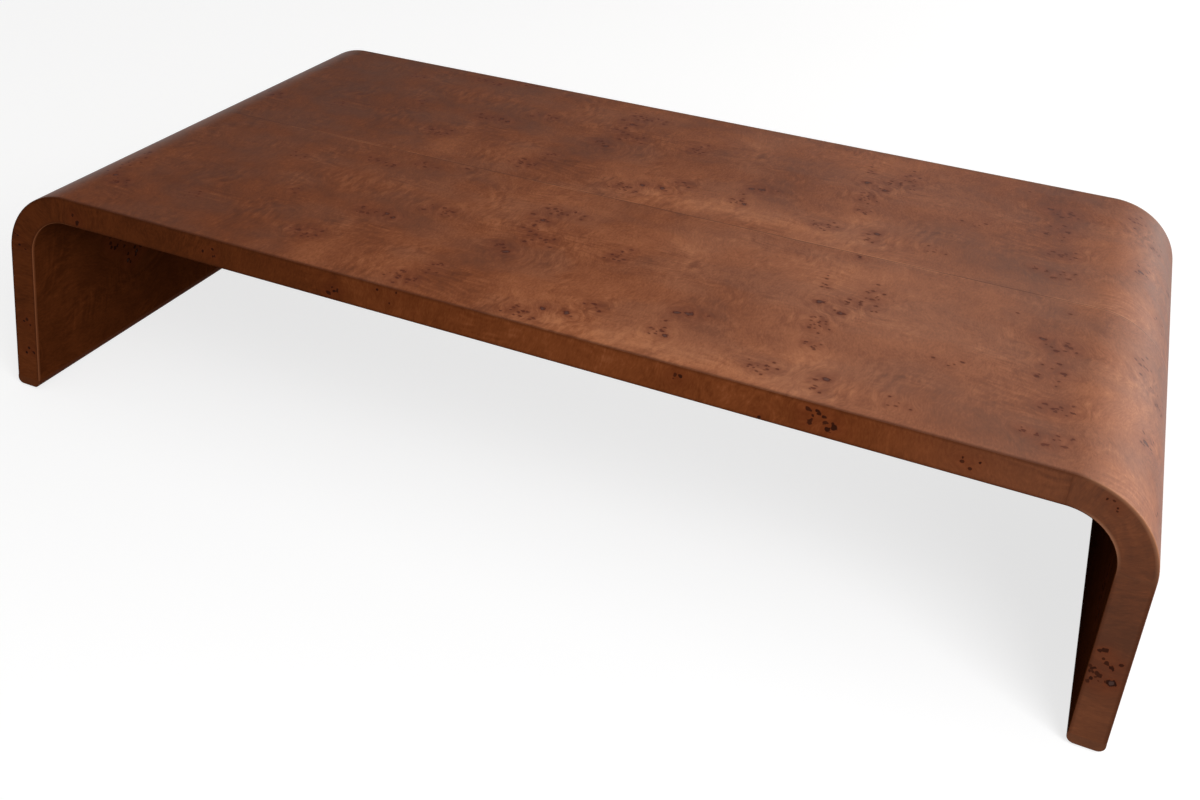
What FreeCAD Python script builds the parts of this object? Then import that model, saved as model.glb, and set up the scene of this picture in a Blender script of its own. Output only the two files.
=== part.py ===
import FreeCAD, Part
import math
import os

import Sketcher

# Waterfall coffee table: one slab that runs up the left leg, over the top and down the right leg
# round two bends of large radius. The slab is a hollow panel construction under burl veneer:
#   - the top and both legs are boxes of two thin skins glued over rails, stiles and ribs;
#   - each bend is coopered from wedge-shaped staves that run the full depth and are turned round;
#   - dowels tie the bends to the top and to the legs;
#   - veneer leaves wrap the outside and the inside, front and rear edges are banded, and each
#     foot has a solid lipping with nylon glides.
# X is the length, -Y the front edge, +Z up. The origin is on the floor under the middle.

doc = FreeCAD.newDocument("WaterfallTable")

# ---------------------------------------------------------------------------------------------
# Driving dimensions, in millimetres
# ---------------------------------------------------------------------------------------------

SIZES = [
    ("table_length", 1524, "overall length, over the outside of both legs"),
    ("table_depth", 905, "overall depth, front edge to rear edge"),
    ("table_height", 330, "overall height, floor to top"),
    ("panel_thickness", 40, "thickness of the top and of the legs, veneer included"),
    ("bend_radius", 102, "outside radius of the two bends"),
    ("veneer_thickness", 0.6, "veneer leaves and edge bands"),
    ("skin_thickness", 9, "skins of the hollow panels"),
    ("rail_width", 60, "rails round the edge of the top"),
    ("rib_width", 30, "cross ribs inside the top"),
    ("rib_count", 4, "number of cross ribs"),
    ("leg_rail_height", 45, "rail at the head of each leg"),
    ("foot_rail_height", 50, "rail at the foot of each leg"),
    ("stile_width", 45, "front and rear stiles of each leg"),
    ("foot_round", 9, "radius of the lower long edges of the lipping under each leg"),
    ("foot_land", 3, "upright part of the lipping, above its rounded edges"),
    ("stave_count", 4, "number of staves in each bend"),
    ("dowel_radius", 4, "joint dowels"),
    ("dowel_length", 40, "joint dowels, half in each piece"),
    ("dowel_margin", 45, "first dowel, from the front edge of the core"),
    ("dowel_count", 7, "dowels along each joint"),
    ("dowel_side_gap", 0.1, "clearance round a dowel or a glide's stem"),
    ("dowel_end_gap", 0.5, "clearance past the end of a dowel or a glide's stem"),
    ("glide_radius", 10, "glide disc"),
    ("glide_height", 3, "glide disc, which lifts the leg off the floor"),
    ("glide_ease", 1, "chamfer round the glide's lower edge"),
    ("glide_stem_radius", 2.5, "stem driven into the leg"),
    ("glide_stem_length", 24, "stem, above the disc"),
    ("glide_inset", 75, "glide centre, from the front or rear edge of the table"),
]

sheet = doc.addObject("Spreadsheet::Sheet", "Sizes")
for row, (alias, number, meaning) in enumerate(SIZES, start=1):
    sheet.set("A%d" % row, alias)
    sheet.set("B%d" % row, str(number))
    sheet.set("C%d" % row, meaning)
    sheet.setAlias("B%d" % row, alias)
doc.recompute()

# Places and sizes that follow from the driving dimensions, as formulas for setExpression.

VENEER = "Sizes.veneer_thickness"
HALF_LENGTH = "(Sizes.table_length / 2)"
HALF_DEPTH = "(Sizes.table_depth / 2)"
HEIGHT = "Sizes.table_height"
CORE_HALF_DEPTH = "(Sizes.table_depth / 2 - Sizes.veneer_thickness)"

# The bends turn about these lines, and the flat top and the straight legs end at them.
BEND_X = "(Sizes.table_length / 2 - Sizes.bend_radius)"
BEND_Z = "(Sizes.table_height - Sizes.bend_radius)"
OUTER_RADIUS = "Sizes.bend_radius"
INNER_RADIUS = "(Sizes.bend_radius - Sizes.panel_thickness)"
CORE_OUTER_RADIUS = "(Sizes.bend_radius - Sizes.veneer_thickness)"
CORE_INNER_RADIUS = "(Sizes.bend_radius - Sizes.panel_thickness + Sizes.veneer_thickness)"

# Layers through the top, counted up from its underside.
UNDERSIDE = "(Sizes.table_height - Sizes.panel_thickness)"
LOWER_SKIN_BOTTOM = "(%s + %s)" % (UNDERSIDE, VENEER)
LOWER_SKIN_TOP = "(%s + Sizes.skin_thickness)" % LOWER_SKIN_BOTTOM
UPPER_SKIN_TOP = "(%s - %s)" % (HEIGHT, VENEER)
UPPER_SKIN_BOTTOM = "(%s - Sizes.skin_thickness)" % UPPER_SKIN_TOP
MID_TOP = "(Sizes.table_height - Sizes.panel_thickness / 2)"

# Layers through a leg, as distances from the middle of the table.
OUTER_SKIN_FACE = "(%s - %s)" % (HALF_LENGTH, VENEER)
OUTER_SKIN_BACK = "(%s - Sizes.skin_thickness)" % OUTER_SKIN_FACE
INNER_FACE = "(%s - Sizes.panel_thickness)" % HALF_LENGTH
INNER_SKIN_FACE = "(%s + %s)" % (INNER_FACE, VENEER)
INNER_SKIN_BACK = "(%s + Sizes.skin_thickness)" % INNER_SKIN_FACE
MID_LEG = "(%s - Sizes.panel_thickness / 2)" % HALF_LENGTH

# Levels up a leg.
LIPPING_THICKNESS = "(Sizes.foot_round + Sizes.foot_land)"
LEG_BASE = "Sizes.glide_height"
ROUND_TOP = "(Sizes.glide_height + Sizes.foot_round)"
CORE_BASE = "(Sizes.glide_height + %s)" % LIPPING_THICKNESS
FOOT_RAIL_TOP = "(%s + Sizes.foot_rail_height)" % CORE_BASE
HEAD_RAIL_BOTTOM = "(%s - Sizes.leg_rail_height)" % BEND_Z

# Holes for dowels and for the stems of the glides.
DOWEL_HOLE_RADIUS = "(Sizes.dowel_radius + Sizes.dowel_side_gap)"
DOWEL_HOLE_DEPTH = "(Sizes.dowel_length / 2 + Sizes.dowel_end_gap)"
FIRST_DOWEL = "(Sizes.dowel_margin - %s)" % CORE_HALF_DEPTH
DOWEL_SPAN = "(2 * (%s - Sizes.dowel_margin))" % CORE_HALF_DEPTH
STEM_HOLE_RADIUS = "(Sizes.glide_stem_radius + Sizes.dowel_side_gap)"
STEM_HOLE_DEPTH = "(Sizes.glide_stem_length - %s + Sizes.dowel_end_gap)" % LIPPING_THICKNESS
FIRST_GLIDE = "(Sizes.glide_inset - %s)" % HALF_DEPTH
GLIDE_SPAN = "(2 * (%s - Sizes.glide_inset))" % HALF_DEPTH
GLIDES_PER_LEG = "2"

SIDES = (("left", -1), ("right", 1))
ENDS = (("front", -1), ("rear", 1))

pieces = []


# ---------------------------------------------------------------------------------------------
# How the pieces are drawn
# ---------------------------------------------------------------------------------------------

def number(formula):
    """The value that a formula has with the sheet's present numbers."""
    result = sheet.evalExpression(formula)
    return float(getattr(result, "Value", result))


def signed(side, formula):
    """The formula on the given side of the middle of the table."""
    return "(-1 * %s)" % formula if side < 0 else "(%s)" % formula


def ordered(first, second):
    """Two formulas, the one with the lower value first."""
    return (first, second) if number(first) <= number(second) else (second, first)


def board(label, along_x, along_y, along_z):
    """A plain rectangular board between the given pairs of faces."""
    piece = doc.addObject("Part::Box", label)
    spans = (ordered(*along_x), ordered(*along_y), ordered(*along_z))
    for size, axis, (low, high) in zip(("Length", "Width", "Height"), "xyz", spans):
        piece.setExpression(size, "%s - %s" % (high, low))
        piece.setExpression("Placement.Base.%s" % axis, low)
    pieces.append(piece)
    return piece


def body(label):
    """An empty body for a piece that is cut from a drawn section."""
    piece = doc.addObject("PartDesign::Body", label)
    pieces.append(piece)
    return piece


def sketch_on(owner, label, plane, offset):
    """A sketch parallel to one of the body's own planes, offset along that plane's normal."""
    sketch = owner.newObject("Sketcher::SketchObject", label)
    planes = {feature.Role: feature for feature in owner.Origin.OriginFeatures}
    sketch.AttachmentSupport = (planes[plane], [""])
    sketch.MapMode = "FlatFace"
    sketch.setExpression("AttachmentOffset.Base.z", offset)
    return sketch


def hold(sketch, kind, edge, point, formula):
    """Fixes one coordinate of a point of the sketch to a formula."""
    index = sketch.addConstraint(Sketcher.Constraint(kind, edge, point, number(formula)))
    sketch.setExpression("Constraints[%d]" % index, formula)


def draw(sketch, outline):
    """Draws a closed outline and ties every corner of it to its formulas.

    Each entry is (x, y) for a corner that a straight edge leaves, or (x, y, centre x,
    centre y, turn) for one that an arc leaves, with turn +1 counter-clockwise, -1 clockwise.
    """
    count = len(outline)
    ends = []
    for index, corner in enumerate(outline):
        after = outline[(index + 1) % count]
        start = FreeCAD.Vector(number(corner[0]), number(corner[1]), 0)
        finish = FreeCAD.Vector(number(after[0]), number(after[1]), 0)
        if len(corner) == 2:
            sketch.addGeometry(Part.LineSegment(start, finish), False)
            ends.append((1, 2))
            continue
        centre = FreeCAD.Vector(number(corner[2]), number(corner[3]), 0)
        low, high = (start, finish) if corner[4] > 0 else (finish, start)
        low_angle = math.atan2(low.y - centre.y, low.x - centre.x)
        high_angle = math.atan2(high.y - centre.y, high.x - centre.x)
        circle = Part.Circle(centre, FreeCAD.Vector(0, 0, 1), (start - centre).Length)
        sketch.addGeometry(Part.ArcOfCircle(circle, low_angle, high_angle), False)
        ends.append((1, 2) if corner[4] > 0 else (2, 1))
    for index, corner in enumerate(outline):
        before = index - 1 if index else count - 1
        join = Sketcher.Constraint("Coincident", before, ends[before][1], index, ends[index][0])
        sketch.addConstraint(join)
        hold(sketch, "DistanceX", index, ends[index][0], corner[0])
        hold(sketch, "DistanceY", index, ends[index][0], corner[1])
        if len(corner) > 2:
            # The centre already lies on the line midway between the arc's ends, so one
            # coordinate settles it: the one that changes faster along that line.
            after = outline[(index + 1) % count]
            across = abs(number(after[0]) - number(corner[0]))
            upward = abs(number(after[1]) - number(corner[1]))
            kind, formula = ("DistanceX", corner[2]) if upward > across else ("DistanceY", corner[3])
            hold(sketch, kind, index, 3, formula)


def pad(owner, label, outline, back, thickness):
    """Extrudes an outline in X and Z from the plane y = back, towards the front."""
    sketch = sketch_on(owner, label + "_section", "XZ_Plane", "-1 * (%s)" % back)
    draw(sketch, outline)
    feature = owner.newObject("PartDesign::Pad", label + "_pad")
    feature.Profile = sketch
    feature.setExpression("Length", thickness)
    sketch.Visibility = False
    return feature


def rail(label, along_x, along_z):
    """A rail that runs the full depth of the core, drawn by its section in X and Z."""
    piece = body(label)
    left, right = ordered(*along_x)
    low, high = ordered(*along_z)
    outline = [(left, low), (right, low), (right, high), (left, high)]
    pad(piece, label, outline, CORE_HALF_DEPTH, "2 * %s" % CORE_HALF_DEPTH)
    return piece


def bore_row(owner, label, face, across, radius, depth, first, span, count):
    """Bores a row of equal blind holes along Y into a face of a body.

    face is (plane, place, side) with side +1 where the holes run up the plane's normal;
    across is the row's other coordinate on that face.
    """
    plane, place, side = face
    sketch = sketch_on(owner, label + "_circle", plane, place)
    # Y is the first axis of a sketch on the YZ plane and the second of one on the XY plane.
    centre = (first, across) if plane == "YZ_Plane" else (across, first)
    direction = "H_Axis" if plane == "YZ_Plane" else "V_Axis"
    middle = FreeCAD.Vector(number(centre[0]), number(centre[1]), 0)
    circle = Part.Circle(middle, FreeCAD.Vector(0, 0, 1), number(radius))
    sketch.addGeometry(circle, False)
    index = sketch.addConstraint(Sketcher.Constraint("Radius", 0, number(radius)))
    sketch.setExpression("Constraints[%d]" % index, radius)
    hold(sketch, "DistanceX", 0, 3, centre[0])
    hold(sketch, "DistanceY", 0, 3, centre[1])
    doc.recompute()
    whole = owner.Shape.Volume
    pocket = owner.newObject("PartDesign::Pocket", label + "_hole")
    pocket.Profile = sketch
    pocket.Reversed = side > 0
    pocket.setExpression("Length", depth)
    row = owner.newObject("PartDesign::LinearPattern", label + "_row")
    row.Originals = [pocket]
    row.Direction = (sketch, [direction])
    row.setExpression("Length", span)
    row.setExpression("Occurrences", count)
    owner.Tip = row
    sketch.Visibility = False
    doc.recompute()
    if whole - owner.Shape.Volume < number(count) * math.pi * number(radius) ** 2:
        raise RuntimeError("%s: the holes cut nothing" % label)


def polar(side, radius, turn):
    """A point on a bend, turned up from the leg (0 degrees) to the top (90 degrees)."""
    away = "(%s + %s * cos(%s))" % (BEND_X, radius, turn)
    return (signed(side, away), "(%s + %s * sin(%s))" % (BEND_Z, radius, turn))


def bend_section(side, inner, outer, low_turn, high_turn):
    """The outline of a bend, or of a wedge of it, between two radii and two angles."""
    centre = (signed(side, BEND_X), BEND_Z)
    return [
        polar(side, outer, low_turn) + centre + (side,),
        polar(side, outer, high_turn),
        polar(side, inner, high_turn) + centre + (-side,),
        polar(side, inner, low_turn),
    ]


# ---------------------------------------------------------------------------------------------
# Hollow top: two skins over a frame of rails and cross ribs
# ---------------------------------------------------------------------------------------------

TOP_SPAN = (signed(-1, BEND_X), signed(1, BEND_X))
CORE_SPAN = (signed(-1, CORE_HALF_DEPTH), signed(1, CORE_HALF_DEPTH))
TOP_CAVITY = (LOWER_SKIN_TOP, UPPER_SKIN_BOTTOM)
RAIL_BACK = "(%s - Sizes.rail_width)" % BEND_X
RAIL_INSIDE = "(%s - Sizes.rail_width)" % CORE_HALF_DEPTH

board("top_upper_skin", TOP_SPAN, CORE_SPAN, (UPPER_SKIN_BOTTOM, UPPER_SKIN_TOP))
board("top_lower_skin", TOP_SPAN, CORE_SPAN, (LOWER_SKIN_BOTTOM, LOWER_SKIN_TOP))

for end_name, end in ENDS:
    board(
        "top_%s_rail" % end_name,
        (signed(-1, RAIL_BACK), signed(1, RAIL_BACK)),
        (signed(end, RAIL_INSIDE), signed(end, CORE_HALF_DEPTH)),
        TOP_CAVITY,
    )

rib_total = int(number("Sizes.rib_count"))
for rib in range(1, rib_total + 1):
    middle = "(2 * %s * (%d / (Sizes.rib_count + 1) - 0.5))" % (RAIL_BACK, rib)
    board(
        "top_cross_rib_%d" % rib,
        ("(%s - Sizes.rib_width / 2)" % middle, "(%s + Sizes.rib_width / 2)" % middle),
        (signed(-1, RAIL_INSIDE), signed(1, RAIL_INSIDE)),
        TOP_CAVITY,
    )

for side_name, side in SIDES:
    end_rail = rail(
        "top_%s_end_rail" % side_name,
        (signed(side, RAIL_BACK), signed(side, BEND_X)),
        TOP_CAVITY,
    )
    bore_row(
        end_rail,
        end_rail.Label,
        ("YZ_Plane", signed(side, BEND_X), -side),
        MID_TOP,
        DOWEL_HOLE_RADIUS,
        DOWEL_HOLE_DEPTH,
        FIRST_DOWEL,
        DOWEL_SPAN,
        "Sizes.dowel_count",
    )

# ---------------------------------------------------------------------------------------------
# Hollow legs: two skins over head rail, foot rail and stiles. A solid lipping under the foot
# is as thick as the whole panel and rounded along both lower edges.
# ---------------------------------------------------------------------------------------------

def foot_section(side):
    """The outline of a foot lipping, with a quarter circle at each of its lower corners."""
    near, far = ordered(signed(side, INNER_FACE), signed(side, HALF_LENGTH))
    near_flat = "(%s + Sizes.foot_round)" % near
    far_flat = "(%s - Sizes.foot_round)" % far
    return [
        (near, ROUND_TOP, near_flat, ROUND_TOP, 1),
        (near_flat, LEG_BASE),
        (far_flat, LEG_BASE, far_flat, ROUND_TOP, 1),
        (far, ROUND_TOP),
        (far, CORE_BASE),
        (near, CORE_BASE),
    ]


for side_name, side in SIDES:
    leg_cavity = (signed(side, INNER_SKIN_BACK), signed(side, OUTER_SKIN_BACK))
    board(
        "%s_leg_outer_skin" % side_name,
        (signed(side, OUTER_SKIN_BACK), signed(side, OUTER_SKIN_FACE)),
        CORE_SPAN,
        (CORE_BASE, BEND_Z),
    )
    board(
        "%s_leg_inner_skin" % side_name,
        (signed(side, INNER_SKIN_FACE), signed(side, INNER_SKIN_BACK)),
        CORE_SPAN,
        (CORE_BASE, BEND_Z),
    )
    for end_name, end in ENDS:
        board(
            "%s_leg_%s_stile" % (side_name, end_name),
            leg_cavity,
            (signed(end, "(%s - Sizes.stile_width)" % CORE_HALF_DEPTH), signed(end, CORE_HALF_DEPTH)),
            (FOOT_RAIL_TOP, HEAD_RAIL_BOTTOM),
        )
    head_rail = rail("%s_leg_head_rail" % side_name, leg_cavity, (HEAD_RAIL_BOTTOM, BEND_Z))
    bore_row(
        head_rail,
        head_rail.Label,
        ("XY_Plane", BEND_Z, -1),
        signed(side, MID_LEG),
        DOWEL_HOLE_RADIUS,
        DOWEL_HOLE_DEPTH,
        FIRST_DOWEL,
        DOWEL_SPAN,
        "Sizes.dowel_count",
    )
    foot_rail = rail("%s_leg_foot_rail" % side_name, leg_cavity, (CORE_BASE, FOOT_RAIL_TOP))
    bore_row(
        foot_rail,
        foot_rail.Label,
        ("XY_Plane", CORE_BASE, 1),
        signed(side, MID_LEG),
        STEM_HOLE_RADIUS,
        STEM_HOLE_DEPTH,
        FIRST_GLIDE,
        GLIDE_SPAN,
        GLIDES_PER_LEG,
    )
    lipping = body("%s_foot_lipping" % side_name)
    pad(lipping, lipping.Label, foot_section(side), HALF_DEPTH, "2 * %s" % HALF_DEPTH)
    bore_row(
        lipping,
        lipping.Label,
        ("XY_Plane", LEG_BASE, 1),
        signed(side, MID_LEG),
        STEM_HOLE_RADIUS,
        LIPPING_THICKNESS,
        FIRST_GLIDE,
        GLIDE_SPAN,
        GLIDES_PER_LEG,
    )

# ---------------------------------------------------------------------------------------------
# Coopered bends: staves numbered up from the leg, the first and the last bored for dowels
# ---------------------------------------------------------------------------------------------

stave_total = int(number("Sizes.stave_count"))
for side_name, side in SIDES:
    for stave_number in range(1, stave_total + 1):
        label = "%s_bend_stave_%d" % (side_name, stave_number)
        stave = body(label)
        low_turn = "(90 * %d / Sizes.stave_count)" % (stave_number - 1)
        high_turn = "(90 * %d / Sizes.stave_count)" % stave_number
        wedge = bend_section(side, CORE_INNER_RADIUS, CORE_OUTER_RADIUS, low_turn, high_turn)
        pad(stave, label, wedge, CORE_HALF_DEPTH, "2 * %s" % CORE_HALF_DEPTH)
        if stave_number == 1:
            bore_row(
                stave,
                label + "_leg_joint",
                ("XY_Plane", BEND_Z, 1),
                signed(side, MID_LEG),
                DOWEL_HOLE_RADIUS,
                DOWEL_HOLE_DEPTH,
                FIRST_DOWEL,
                DOWEL_SPAN,
                "Sizes.dowel_count",
            )
        if stave_number == stave_total:
            bore_row(
                stave,
                label + "_top_joint",
                ("YZ_Plane", signed(side, BEND_X), side),
                MID_TOP,
                DOWEL_HOLE_RADIUS,
                DOWEL_HOLE_DEPTH,
                FIRST_DOWEL,
                DOWEL_SPAN,
                "Sizes.dowel_count",
            )

# ---------------------------------------------------------------------------------------------
# Dowels: a row across each of the four joints between the bends and the straight panels
# ---------------------------------------------------------------------------------------------

def dowel_row(label, middle_x, middle_z, upright):
    """Equal dowels spaced along Y, each centred on the joint between two pieces."""
    dowels = []
    total = int(number("Sizes.dowel_count"))
    half = "Sizes.dowel_length / 2"
    for index in range(total):
        dowel = doc.addObject("Part::Cylinder", "%s_%d" % (label, index + 1))
        dowel.setExpression("Radius", "Sizes.dowel_radius")
        dowel.setExpression("Height", "Sizes.dowel_length")
        if not upright:
            dowel.Placement.Rotation = FreeCAD.Rotation(FreeCAD.Vector(0, 1, 0), 90)
        start_x = middle_x if upright else "%s - %s" % (middle_x, half)
        start_z = "%s - %s" % (middle_z, half) if upright else middle_z
        step = "%s * %d / (Sizes.dowel_count - 1)" % (DOWEL_SPAN, index)
        dowel.setExpression("Placement.Base.x", start_x)
        dowel.setExpression("Placement.Base.y", "%s + %s" % (FIRST_DOWEL, step))
        dowel.setExpression("Placement.Base.z", start_z)
        dowels.append(dowel)
    row = doc.addObject("Part::Compound", label)
    row.Links = dowels
    pieces.append(row)


for side_name, side in SIDES:
    dowel_row("%s_top_joint_dowels" % side_name, signed(side, BEND_X), MID_TOP, False)
    dowel_row("%s_leg_joint_dowels" % side_name, signed(side, MID_LEG), BEND_Z, True)

# ---------------------------------------------------------------------------------------------
# Veneer leaves: a front and a rear leaf outside, and the same inside, each one unbroken sheet
# from foot to foot round both bends
# ---------------------------------------------------------------------------------------------

def wrap_section(outer_offset, inner_offset):
    """The section of a sheet that follows the slab between two depths below its outside."""
    left_centre = (signed(-1, BEND_X), BEND_Z)
    right_centre = (signed(1, BEND_X), BEND_Z)
    outline = []
    for offset, turn in ((outer_offset, -1), (inner_offset, 1)):
        far = "(%s - %s)" % (HALF_LENGTH, offset)
        high = "(%s - %s)" % (HEIGHT, offset)
        left_foot = (signed(-1, far), CORE_BASE)
        left_low = (signed(-1, far), BEND_Z)
        left_high = (signed(-1, BEND_X), high)
        right_high = (signed(1, BEND_X), high)
        right_low = (signed(1, far), BEND_Z)
        right_foot = (signed(1, far), CORE_BASE)
        if turn < 0:
            outline += [left_foot, left_low + left_centre + (turn,), left_high]
            outline += [right_high + right_centre + (turn,), right_low, right_foot]
        else:
            outline += [right_foot, right_low + right_centre + (turn,), right_high]
            outline += [left_high + left_centre + (turn,), left_low, left_foot]
    return outline


LEAVES = (("front", "0", HALF_DEPTH), ("rear", HALF_DEPTH, HALF_DEPTH))
FACES = (
    ("outer", "0", VENEER),
    ("inner", "(Sizes.panel_thickness - %s)" % VENEER, "Sizes.panel_thickness"),
)
for face_name, outer_offset, inner_offset in FACES:
    for leaf_name, leaf_back, leaf_depth in LEAVES:
        label = "%s_veneer_%s_leaf" % (face_name, leaf_name)
        pad(body(label), label, wrap_section(outer_offset, inner_offset), leaf_back, leaf_depth)

# ---------------------------------------------------------------------------------------------
# Edge bands: veneer strips on the front and rear edges, butted where the bends begin
# ---------------------------------------------------------------------------------------------

for end_name, end in ENDS:
    band = (signed(end, CORE_HALF_DEPTH), signed(end, HALF_DEPTH))
    band_back = HALF_DEPTH if end > 0 else signed(-1, CORE_HALF_DEPTH)
    board("%s_edge_band_top" % end_name, TOP_SPAN, band, (LOWER_SKIN_BOTTOM, UPPER_SKIN_TOP))
    for side_name, side in SIDES:
        board(
            "%s_edge_band_%s_leg" % (end_name, side_name),
            (signed(side, INNER_SKIN_FACE), signed(side, OUTER_SKIN_FACE)),
            band,
            (CORE_BASE, BEND_Z),
        )
        label = "%s_edge_band_%s_bend" % (end_name, side_name)
        quarter = bend_section(side, CORE_INNER_RADIUS, CORE_OUTER_RADIUS, "0", "90")
        pad(body(label), label, quarter, band_back, VENEER)

# ---------------------------------------------------------------------------------------------
# Glides: a nylon disc on a stem, turned in one piece and driven into the foot of each leg
# ---------------------------------------------------------------------------------------------

GLIDE_SECTION = [
    ("0", "0"),
    ("Sizes.glide_radius - Sizes.glide_ease", "0"),
    ("Sizes.glide_radius", "Sizes.glide_ease"),
    ("Sizes.glide_radius", "Sizes.glide_height"),
    ("Sizes.glide_stem_radius", "Sizes.glide_height"),
    ("Sizes.glide_stem_radius", "Sizes.glide_height + Sizes.glide_stem_length"),
    ("0", "Sizes.glide_height + Sizes.glide_stem_length"),
]

for side_name, side in SIDES:
    for end_name, end in ENDS:
        label = "%s_%s_glide" % (side_name, end_name)
        glide = body(label)
        section = sketch_on(glide, label + "_section", "XZ_Plane", "0")
        draw(section, GLIDE_SECTION)
        turned = glide.newObject("PartDesign::Revolution", label + "_turned")
        turned.Profile = section
        turned.ReferenceAxis = (section, ["V_Axis"])
        turned.Angle = 360
        section.Visibility = False
        glide.setExpression("Placement.Base.x", signed(side, MID_LEG))
        glide.setExpression("Placement.Base.y", signed(end, "(%s - Sizes.glide_inset)" % HALF_DEPTH))

# ---------------------------------------------------------------------------------------------
# Check every object, then write one file per piece
# ---------------------------------------------------------------------------------------------

doc.recompute()
for thing in doc.Objects:
    if "Invalid" in thing.State or "Error" in thing.State:
        raise RuntimeError("%s did not rebuild: %s" % (thing.Label, thing.State))
for piece in pieces:
    if piece.Shape.isNull() or not piece.Shape.isValid() or not piece.Shape.Solids:
        raise RuntimeError("%s has no valid solid" % piece.Label)

os.makedirs("parts", exist_ok=True)
for piece in pieces:
    piece.Shape.exportStep("parts/%s.step" % piece.Label)
    print("%-28s %9.1f cm3  %d solid(s)" % (piece.Label, piece.Shape.Volume / 1000, len(piece.Shape.Solids)))
print("%d pieces" % len(pieces))
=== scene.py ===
import math

import bpy
import numpy as np
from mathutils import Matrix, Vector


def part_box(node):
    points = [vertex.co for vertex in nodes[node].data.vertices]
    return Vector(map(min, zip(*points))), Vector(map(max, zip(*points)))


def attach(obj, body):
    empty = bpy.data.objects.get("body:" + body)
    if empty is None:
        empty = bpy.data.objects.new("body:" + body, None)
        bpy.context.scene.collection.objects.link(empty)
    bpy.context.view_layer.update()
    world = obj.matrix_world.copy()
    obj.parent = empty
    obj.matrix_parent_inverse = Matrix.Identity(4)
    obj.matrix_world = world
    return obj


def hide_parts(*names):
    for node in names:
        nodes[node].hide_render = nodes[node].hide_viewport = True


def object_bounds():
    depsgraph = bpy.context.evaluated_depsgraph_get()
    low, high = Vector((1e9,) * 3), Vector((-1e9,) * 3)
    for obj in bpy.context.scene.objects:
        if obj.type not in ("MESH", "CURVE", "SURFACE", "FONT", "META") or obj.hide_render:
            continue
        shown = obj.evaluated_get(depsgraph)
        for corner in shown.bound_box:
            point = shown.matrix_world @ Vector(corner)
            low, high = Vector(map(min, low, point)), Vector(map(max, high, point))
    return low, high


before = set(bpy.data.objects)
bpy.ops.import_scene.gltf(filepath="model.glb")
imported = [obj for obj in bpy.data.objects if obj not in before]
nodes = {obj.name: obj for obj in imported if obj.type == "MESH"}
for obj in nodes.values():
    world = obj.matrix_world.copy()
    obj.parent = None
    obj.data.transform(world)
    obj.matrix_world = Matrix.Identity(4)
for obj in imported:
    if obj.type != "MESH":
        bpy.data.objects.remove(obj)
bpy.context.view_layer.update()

# ------------------------------------------------------------------------------------------
# Core
# The hollow body of the slab: fibreboard skins glued over frames of poplar rails, ribs and
# stiles. Each bend is coopered from four poplar staves, and beech dowels tie it to the top and
# to its leg. The veneers close all of it in.
# ------------------------------------------------------------------------------------------

MM = 0.001


class Wire:
    """An output socket in a material. Arithmetic on it adds Math nodes."""

    def __init__(self, finish, socket):
        self.finish = finish
        self.socket = socket

    def _math(self, operation, *values):
        return self.finish.node("ShaderNodeMath", {"operation": operation}, *values)

    def __add__(self, other):
        return self._math("ADD", self, other)

    def __sub__(self, other):
        return self._math("SUBTRACT", self, other)

    def __rsub__(self, other):
        return self._math("SUBTRACT", other, self)

    def __mul__(self, other):
        return self._math("MULTIPLY", self, other)

    def __abs__(self):
        return self._math("ABSOLUTE", self)

    __radd__ = __add__
    __rmul__ = __mul__

    def root(self):
        """The square root."""
        return self._math("SQRT", self)

    def most(self, other):
        """The larger of the two."""
        return self._math("MAXIMUM", self, other)

    def least(self, other):
        """The smaller of the two."""
        return self._math("MINIMUM", self, other)

    def steps_up(self, low, high):
        """0 below low, 1 above high, smooth between; low may be the larger, for a step down."""
        settings = {"interpolation_type": "SMOOTHSTEP", "clamp": True}
        if low <= high:
            return self.finish.node("ShaderNodeMapRange", settings, self, low, high, 0.0, 1.0)
        return 1.0 - self.finish.node("ShaderNodeMapRange", settings, self, high, low, 0.0, 1.0)


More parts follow.
